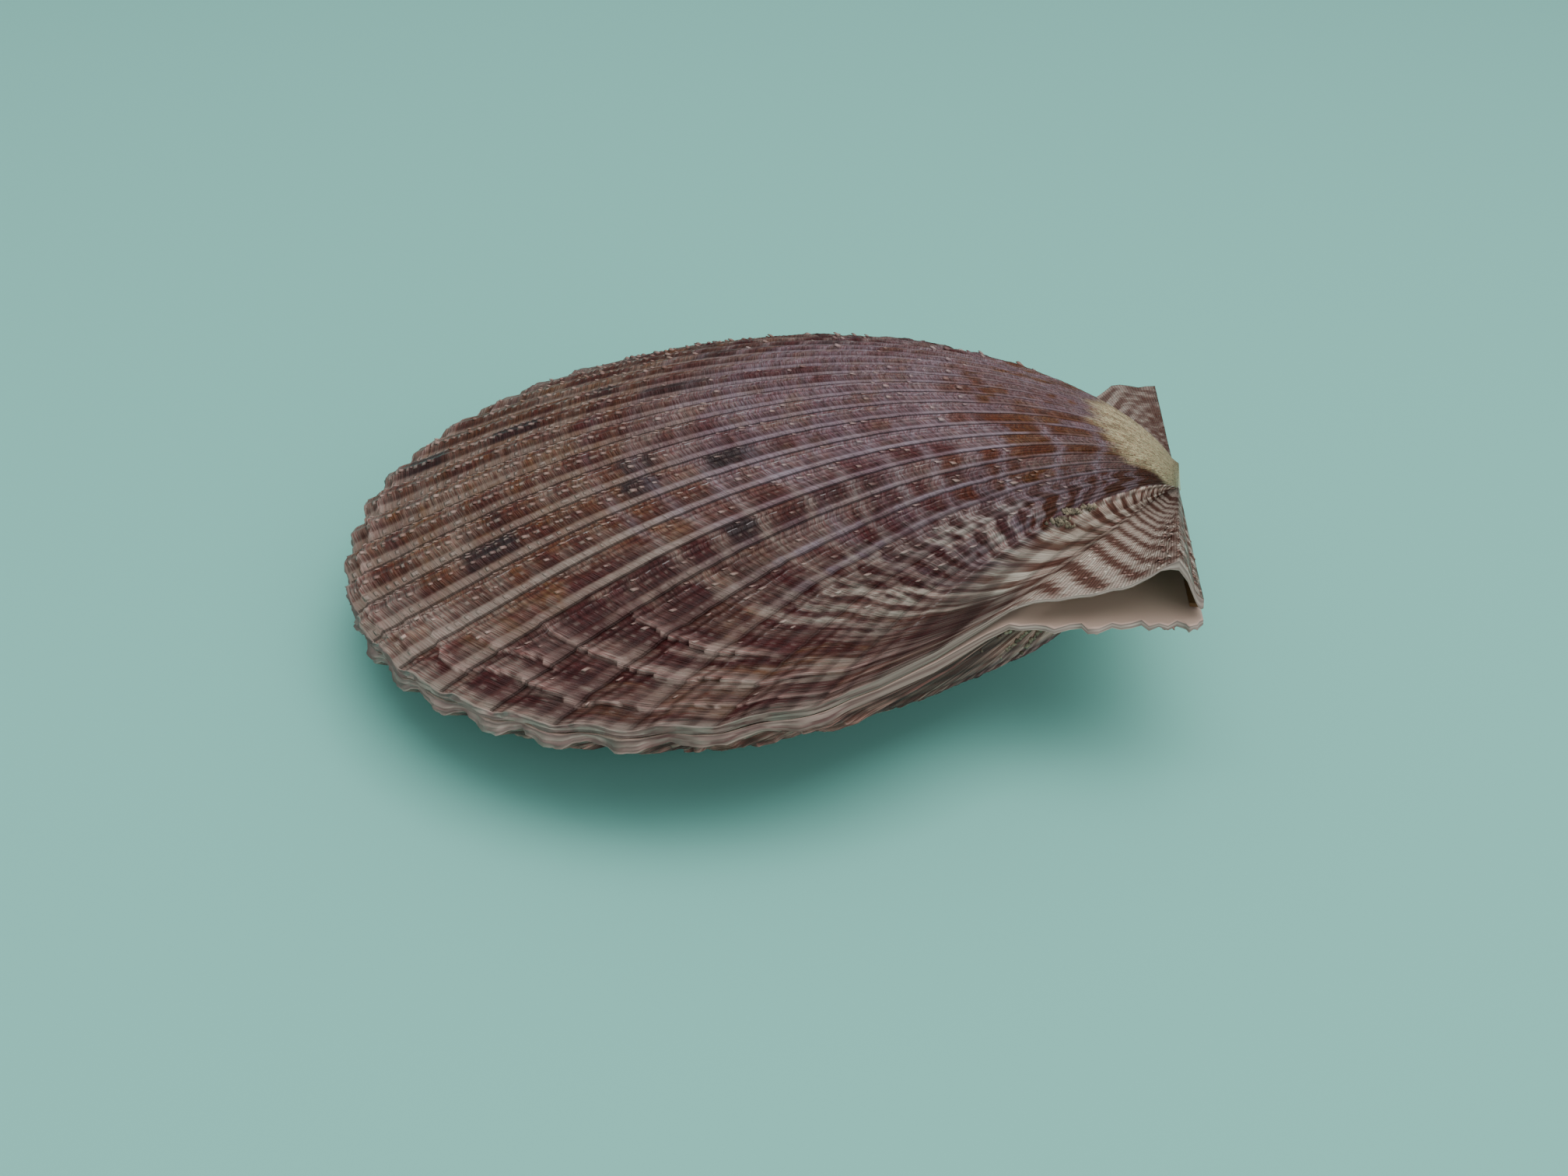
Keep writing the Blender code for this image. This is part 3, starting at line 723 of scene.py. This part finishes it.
def add_mesh(name, points, faces, face_slots, materials, colours, places, detail):
    """An object from points in the shell's frame, with vertex colours, and its places on the shell as UVs."""
    mesh = bpy.data.meshes.new(name)
    turned = points @ np.array(SHELL_TO_ROW.to_3x3()).T + np.array(HINGE_PLACE)
    mesh.from_pydata(turned, [], faces)
    for material in materials:
        mesh.materials.append(material)
    mesh.polygons.foreach_set("material_index", face_slots)
    for label, values in (("ground", colours), ("detail", detail)):
        layer = mesh.attributes.new(label, "FLOAT_COLOR", "POINT")
        layer.data.foreach_set("color", np.c_[values, np.ones(len(values))].astype(np.float32).ravel())
    corner = np.zeros(len(mesh.loops), np.int32)
    mesh.loops.foreach_get("vertex_index", corner)
    uv = mesh.uv_layers.new(name="shell_lines")
    uv.data.foreach_set("uv", places[corner].astype(np.float32).ravel())
    mesh.update()
    mesh.shade_smooth()
    thing = bpy.data.objects.new(name, mesh)
    bpy.context.scene.collection.objects.link(thing)
    return thing


def make_valve(name, node, right, materials):
    """A valve as one closed surface: beak, outside, layered edge, inside and hinge plate."""
    theta = columns()
    beak_sizes = np.linspace(*BEAK_SIZES, BEAK_ROWS + 1)[:-1]
    sizes = np.concatenate((beak_sizes, np.linspace(BEAK_SIZES[1], 1.0, OUTER_ROWS - BEAK_ROWS)))
    grid = np.meshgrid(theta, sizes)
    outer, _, _ = valve_surfaces(*grid, right)
    _, inner, _ = valve_surfaces(*np.meshgrid(theta, INNER_SIZES), right)
    edge_rows = torn_edge(theta, outer[-1], inner[0], right)
    beak_row, plate = beak_and_plate(theta, right)
    rows = np.array([beak_row] + list(outer) + edge_rows + list(inner) + [plate])
    count, width = rows.shape[:2]
    centre, beak = (0, 0, HINGE_GAP), (-BEAK_OVERHANG, 0, HINGE_GAP + EAR_WALL / 2)
    points = np.concatenate((rows.reshape(-1, 3), (centre, beak)))
    index = np.arange(count * width).reshape(count, width)
    faces, slots = valve_faces(index, 1 + len(sizes), count * width, count * width + 1, right)

    outside = paint(*grid, right)
    hollow = fill((len(INNER_SIZES) + 1, width), MAUVE)
    hollow = mix(hollow, WHITE, np.repeat(np.linspace(0.1, 0.7, len(hollow))[:, None], width, 1))
    colours = np.concatenate((outside[:1], outside, np.array(paint_edge(theta)), hollow)).reshape(-1, 3)
    colours = np.concatenate((colours, [MAUVE, CREAM]))
    all_sizes = np.concatenate(([0.03], sizes, np.full(len(edge_rows), 1.0), INNER_SIZES, [PLATE_SIZE]))
    row_theta, row_size = np.meshgrid(theta, all_sizes)
    places = np.concatenate((weave_places(row_theta, row_size, right).reshape(-1, 2), np.zeros((2, 2))))
    detail = np.concatenate((weave_weights(row_theta, row_size).reshape(-1, 3), np.zeros((2, 3))))
    thing = add_mesh(name, turned_over(points, right), faces, slots, materials, colours, places, detail)
    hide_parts(node)
    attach(thing, "root")


def add_small_pieces(name, right, points, faces, colours, material):
    """Many small closed pieces as one object: each row of points gets the same faces and its own colour."""
    count, corners = points.shape[:2]
    faces = np.array(faces)[:, ::-1] if right else np.array(faces)
    faces = (faces[None] + corners * np.arange(count)[:, None, None]).reshape(-1, 3)
    points = turned_over(points.reshape(-1, 3), right)
    thing = add_mesh(name, points, faces.tolist(), np.zeros(len(faces), int), (material,),
                     np.repeat(colours, corners, 0), np.zeros((len(points), 2)), np.zeros((len(points), 3)))
    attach(thing, "root")


def scale_places(rng, right):
    """Angle, size and bigness of every scale: evenly along the riblets with gaps left by chance.

    They crowd near the edge in front and on the back, and lie strewn over the rear ear.
    """
    places = []
    for number in range(RIB_COUNT + 1):
        for across in (0.125, 0.375, 0.625):
            steps = np.arange(0.30, 0.985, SCALE_STEP)
            steps = steps + rng.uniform(-0.0018, 0.0018, len(steps))
            bow = rib_phase(0 * steps, steps, right) - rib_phase(0.0, 0.0, right)
            phase = number + across - bow - RIB_SHIFT - (0.5 if right else 0.0)
            theta = (phase / RIB_COUNT * 2 - 1) * FLANK
            lean = theta / FLANK
            wanted = 0.12 + 0.75 * smooth(growth(theta, steps), 0.55, 0.8) * fade(lean, 0.25, 0.5)
            wanted = wanted * (0.45 + 0.55 * smooth(lean, -0.25, 0.0))
            keep = (np.abs(lean) < 0.93) & (rng.random(len(steps)) < wanted)
            places.append(np.stack((theta, steps, rng.uniform(0.7, 1.3, len(steps))), -1)[keep])
    ear = np.radians(np.concatenate((rng.uniform(54, 89, 60), rng.uniform(77, 90, 130))))
    count = len(ear)
    places.append(np.stack((ear, rng.uniform(0.35, 0.99, count) ** 0.7, rng.uniform(0.6, 1.1, count)), -1))
    return np.concatenate(places).T


def make_scales(name, right, material):
    """Small raised scales, arched and open towards the edge: a grid of twelve points and a root each."""
    rng = np.random.default_rng(11 + right)
    theta, size, big = scale_places(rng, right)
    here, _, fan = valve_surfaces(theta, size, right)
    along = valve_surfaces(theta, size + 0.004, right)[0] - valve_surfaces(theta, size - 0.004, right)[0]
    across = valve_surfaces(theta + 0.004, size, right)[0] - valve_surfaces(theta - 0.004, size, right)[0]
    along /= np.linalg.norm(along, axis=1)[:, None]
    across /= np.linalg.norm(across, axis=1)[:, None]
    front = fade(theta / FLANK, -0.35, 0.0)
    tall = (SCALE_RISE + FRONT_SCALE_RISE * front) * big
    points = []
    for length, lift in ((-0.5, -0.2), (0.12, 0.85), (0.42, 1.0)):
        for width, drop in ((-0.5, 0.6), (-0.2, 0.05), (0.2, 0.05), (0.5, 0.6)):
            place = here + along * (length * SCALE_LENGTH * big)[:, None]
            place = place + across * (width * SCALE_WIDTH * big)[:, None]
            points.append(place + fan * (tall * (lift - drop))[:, None])
    points.append(here - fan * SCALE_ROOT)
    faces = []
    for corner in (0, 1, 2, 4, 5, 6):
        faces += [(corner, corner + 4, corner + 5), (corner, corner + 5, corner + 1)]
    ring = [0, 1, 2, 3, 7, 11, 10, 9, 8, 4]
    faces += [(a, b, 12) for a, b in zip(ring, ring[1:] + ring[:1])]
    colours = mix(paint(theta, size, right) * 1.25, RIM_PALE, 0.15 + 0.35 * rng.random(len(theta)))
    add_small_pieces(name, right, np.stack(points, 1), faces, colours, material)


def make_grit(name, right, spots, material):
    """Crumbs of dirt caught beside the rear ear: rough lumps of eight faces, strewn round each spot."""
    rng = np.random.default_rng(5 + right)
    theta, size = [], []
    for degrees, at, spread, count in spots:
        theta.append(np.radians(degrees + spread * rng.normal(size=count)))
        size.append(at + spread * 0.012 * rng.normal(size=count))
    theta, size = np.concatenate(theta), np.clip(np.concatenate(size), 0.1, 0.995)
    here, _, fan = valve_surfaces(theta, size, right)
    count = len(theta)
    arms = np.array(((1, 0, 0), (-1, 0, 0), (0, 1, 0), (0, -1, 0), (0, 0, 1), (0, 0, -1)), float)
    reach = rng.uniform(*CRUMB_REACH, (count, 6, 1))
    points = (here + fan * 0.0001)[:, None] + arms * reach + rng.normal(size=(count, 6, 3)) * CRUMB_ROUGHNESS
    faces = ((0, 2, 4), (2, 1, 4), (1, 3, 4), (3, 0, 4), (2, 0, 5), (1, 2, 5), (3, 1, 5), (0, 3, 5))
    add_small_pieces(name, right, points, faces, np.array(DIRT) * rng.uniform(0.5, 1.7, (count, 1)), material)


class Net:
    """Short calls for making and linking shader nodes."""

    def __init__(self, tree):
        self.tree = tree

    def node(self, kind, **settings):
        made = self.tree.nodes.new(kind)
        for key, value in settings.items():
            setattr(made, key, value)
        return made

    def join(self, value, socket):
        """Links a socket to the value if that is an output, and else sets the socket to it."""
        if hasattr(value, "is_output"):
            self.tree.links.new(value, socket)
        else:
            socket.default_value = value

    def math(self, operation, *values):
        made = self.node("ShaderNodeMath", operation=operation)
        for value, socket in zip(values, made.inputs):
            self.join(value, socket)
        return made.outputs[0]

    def times(self, a, b):
        return self.math("MULTIPLY", a, b)

    def plus(self, a, b):
        return self.math("ADD", a, b)

    def wave(self, turns):
        """A cosine that comes round once for each whole number."""
        return self.math("COSINE", self.times(turns, TURN))

    def step(self, value, low, high, start=0.0, end=1.0):
        """A soft step from start at low to end at high."""
        made = self.node("ShaderNodeMapRange", interpolation_type="SMOOTHSTEP")
        for given, socket in zip((value, low, high, start, end), made.inputs):
            self.join(given, socket)
        return made.outputs[0]

    def noise(self, x, y, detail=2.0):
        place = self.node("ShaderNodeCombineXYZ")
        self.join(x, place.inputs[0])
        self.join(y, place.inputs[1])
        made = self.node("ShaderNodeTexNoise", noise_dimensions="2D")
        self.tree.links.new(place.outputs[0], made.inputs["Vector"])
        made.inputs["Scale"].default_value = 1.0
        made.inputs["Detail"].default_value = detail
        return made.outputs["Fac"]

    def blend(self, share, a, b, kind="MIX"):
        """Colours a blended with the one colour b by a share."""
        made = self.node("ShaderNodeMix", data_type="RGBA", blend_type=kind)
        self.join(share, made.inputs[0])
        self.join(a, made.inputs[6])
        self.join((*b, 1.0), made.inputs[7])
        return made.outputs[2]


def weave_group():
    """Riblets, growth lines, strokes, beads and dashes from the rib number and the growth in millimetres.

    Riblets are cosines, four to a rib. Growth lines and strokes are noise stretched along the growth lines.
    Beads are the crests of a riblet times the crests of a cosine along it, with a pace of its own for each
    riblet. Dashes are painted highlights: glints on the thin crests of some riblets in the middle of a rib,
    broken up by noise. Grooves are dark lines between the ribs, painted shade where each rib's steep side
    shadows the groove.
    It gives a shade to multiply the ground colour by, which holds painted shade in the grooves and in the
    troughs between riblets, the shares of stroke tint, pale bead and painted glint, and the height in
    millimetres. The weights say where beads, glints and dark grooves are.
    """
    group = bpy.data.node_groups.new("shell_weave", "ShaderNodeTree")
    for name in ("rib", "growth", "bead weight", "dash weight", "groove weight"):
        group.interface.new_socket(name, in_out="INPUT", socket_type="NodeSocketFloat")
    for name in ("shade", "stroke", "bead", "painted_glint", "height"):
        group.interface.new_socket(name, in_out="OUTPUT", socket_type="NodeSocketFloat")
    net = Net(group)
    given = net.node("NodeGroupInput").outputs
    out = net.node("NodeGroupOutput").inputs
    rib_number, distance = given["rib"], given["growth"]
    place_in_rib = net.math("FRACT", rib_number)
    band = net.step(place_in_rib, 0.76, 0.82)
    riblet = net.times(rib_number, 4.0)
    riblet_number = net.math("FLOOR", riblet)
    from_crest = net.plus(riblet, -0.5)
    riblet_wave = net.wave(from_crest)
    chance = net.node("ShaderNodeTexWhiteNoise", noise_dimensions="1D")
    net.join(riblet_number, chance.inputs["W"])
    chance = chance.outputs["Value"]

    arched = net.plus(distance, net.times(net.wave(rib_number), 0.22))
    lines = net.noise(net.times(rib_number, 0.8), net.times(arched, 2.6), 3.0)
    strokes = net.noise(net.times(rib_number, 3.0), net.times(arched, 6.5), 1.0)

    sway = net.times(net.noise(net.times(distance, 0.35), riblet_number), 2.0)
    pace = net.plus(net.plus(net.times(distance, 0.95), net.times(chance, 9.0)), sway)
    bead = net.times(net.step(riblet_wave, 0.0, 0.9), net.step(net.wave(pace), -0.1, 0.85))
    presence = net.step(net.noise(net.times(rib_number, 1.3), net.times(distance, 0.35)), 0.35, 0.6)
    bead = net.times(net.times(bead, presence), given["bead weight"])

    # Painted highlight: glints on the thin crests of middle riblets, broken up by noise; they also rise a
    # little in the bump
    sideways = net.times(net.plus(net.noise(net.times(distance, 0.8), riblet_number), -0.5), 0.5)
    thin_crest = net.step(net.wave(net.plus(from_crest, sideways)), 0.80, 0.98)
    broken = net.step(net.noise(net.times(distance, 1.1), net.times(riblet_number, 3.3), 1.0), 0.47, 0.60)
    middle = net.times(net.step(place_in_rib, 0.27, 0.33), net.step(place_in_rib, 0.52, 0.58, 1.0, 0.0))
    picked = net.times(middle, net.math("GREATER_THAN", chance, 0.35))
    painted_glint = net.times(net.times(net.times(thin_crest, broken), picked), given["dash weight"])

    # Painted shade: the groove between ribs darkens, as if shadowed by the next rib's steep side; it also dips
    # in the bump
    from_middle = net.math("ABSOLUTE", net.plus(place_in_rib, -0.5))
    groove = net.times(net.step(from_middle, 0.455, 0.492), given["groove weight"])
    stroke = net.times(net.step(strokes, 0.34, 0.62, 1.0, 0.0), net.step(band, 0.0, 1.0, 1.0, 0.35))
    uneven = net.times(net.plus(net.step(lines, 0.30, 0.70), -0.5), net.step(band, 0.0, 1.0, 0.50, 0.22))
    # Painted shade: darker in the troughs between riblets and along the grooves; the growth lines' uneven tone
    # is the shell's own
    shade = net.times(net.plus(uneven, 0.98), net.step(riblet_wave, -1.0, 0.1, 0.72, 1.05))
    shade = net.times(shade, net.math("SUBTRACT", 1.0, net.times(groove, 0.45)))
    height = net.times(lines, 0.14)
    for part, rise in ((riblet_wave, 0.05), (bead, 0.14), (painted_glint, 0.10), (strokes, 0.06), (groove, -0.15)):
        height = net.plus(height, net.times(part, rise))
    for value, socket in zip((shade, stroke, bead, painted_glint, height), out):
        net.join(value, socket)
    return group


def new_material(name, roughness, specular):
    """A material with its roughness and specular level set, its node calls and its shader."""
    material = bpy.data.materials.new(name)
    material.use_nodes = True
    shader = material.node_tree.nodes["Principled BSDF"]
    shader.inputs["Roughness"].default_value = roughness
    shader.inputs["Specular IOR Level"].default_value = specular
    return material, Net(material.node_tree), shader


def shell_material(name, weave):
    """The outside of a valve: painted ground colour under the woven riblets and growth lines."""
    material, net, shader = new_material(name, 0.40, 0.2)
    ground = net.node("ShaderNodeAttribute", attribute_name="ground")
    detail = net.node("ShaderNodeAttribute", attribute_name="detail")
    places = net.node("ShaderNodeUVMap", uv_map="shell_lines")
    parts = net.node("ShaderNodeSeparateXYZ")
    weights = net.node("ShaderNodeSeparateColor")
    net.join(places.outputs[0], parts.inputs[0])
    net.join(detail.outputs["Color"], weights.inputs[0])
    woven = net.node("ShaderNodeGroup", node_tree=weave)
    for value, socket in zip((*parts.outputs[:2], *weights.outputs[:3]), woven.inputs):
        net.join(value, socket)
    woven = woven.outputs
    lined = net.blend(woven["stroke"], ground.outputs["Color"], STROKE_TINT, "MULTIPLY")
    # The weave's shade holds painted shade in the grooves and between the riblets
    shaded = net.node("ShaderNodeVectorMath", operation="SCALE")
    net.join(lined, shaded.inputs[0])
    net.join(woven["shade"], shaded.inputs["Scale"])
    pale = net.blend(net.times(woven["bead"], 0.60), shaded.outputs[0], BEAD_PALE)
    # Painted highlight: the glints mixed into the base colour
    glint_painted = net.blend(net.times(woven["painted_glint"], 0.75), pale, PAINTED_GLINT_TONE)
    net.join(glint_painted, shader.inputs["Base Color"])
    bump = net.node("ShaderNodeBump")
    bump.inputs["Strength"].default_value = 1.0
    bump.inputs["Distance"].default_value = 0.001
    net.join(woven["height"], bump.inputs["Height"])
    net.join(bump.outputs[0], shader.inputs["Normal"])
    return material


def smooth_material(name, roughness):
    """A smooth, softly shining surface in its painted ground colour: inside, edge, scales and dirt."""
    material, net, shader = new_material(name, roughness, 0.3)
    ground = net.node("ShaderNodeAttribute", attribute_name="ground")
    net.join(ground.outputs["Color"], shader.inputs["Base Color"])
    return material


def plain_material(name, colour, roughness):
    """A material of one colour."""
    material, _, shader = new_material(name, roughness, 0.5)
    shader.inputs["Base Color"].default_value = (*colour, 1.0)
    return material


weave = weave_group()
inside = smooth_material("valve_inside", 0.32)
edge = smooth_material("valve_edge", 0.5)
make_valve("left_shell", "left_valve", False, (shell_material("left_outside", weave), inside, edge))
make_valve("right_shell", "right_valve", True, (shell_material("right_outside", weave), inside, edge))

scales = smooth_material("shell_scales", 0.35)
make_scales("left_shell_scales", False, scales)
make_scales("right_shell_scales", True, scales)
dirt = smooth_material("dried_dirt", 0.95)
make_grit("left_shell_dirt", False, LEFT_GRIT, dirt)
make_grit("right_shell_dirt", True, RIGHT_GRIT, dirt)

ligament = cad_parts["hinge_ligament"]
ligament.data.materials.clear()
ligament.data.materials.append(plain_material("ligament_horn", HORN, 0.5))

# The floor, the lights and the photograph's viewing angle
bpy.ops.mesh.primitive_plane_add(size=6.0, location=(0, 0, 0))
floor = bpy.context.object
floor.name = "floor"
floor.data.materials.append(plain_material("pale_floor", FLOOR_TONE, 0.85))

world = bpy.data.worlds.new("studio")
bpy.context.scene.world = world
world.use_nodes = True
world.node_tree.nodes["Background"].inputs[0].default_value = (*SKY_TONE, 1.0)
world.node_tree.nodes["Background"].inputs[1].default_value = 0.45


def area_light(name, place, target, size, power):
    """A soft square light aimed at a point."""
    lamp = bpy.data.lights.new(name, "AREA")
    lamp.size = size
    lamp.energy = power
    thing = bpy.data.objects.new(name, lamp)
    bpy.context.scene.collection.objects.link(thing)
    thing.location = place
    thing.rotation_euler = (Vector(target) - Vector(place)).to_track_quat("-Z", "Y").to_euler()


area_light("overhead", (0.12, -0.12, 0.8), (0, 0, 0.015), 0.8, 5.2)
area_light("front_fill", (0.5, -0.75, 0.35), (0, 0, 0.015), 0.6, 2.5)

# The camera's lens, place and directions in the shell's frame come from the fit to the photograph.
camera = bpy.data.objects.new("camera", bpy.data.cameras.new("camera"))
bpy.context.scene.collection.objects.link(camera)
camera.data.lens = 42.11
camera.data.clip_start = 0.01
ahead = Vector((-0.10519, 0.85537, -0.50722)).normalized()
sideways = Vector((0.42156, 0.03271, -0.03227)).normalized()
above = sideways.cross(ahead).normalized()
view_turn = Matrix((sideways, above, -ahead)).transposed().to_4x4()
camera.matrix_world = SHELL_TO_ROW @ Matrix.Translation((-0.0210, -0.17228, 0.09259)) @ view_turn
bpy.context.scene.camera = camera
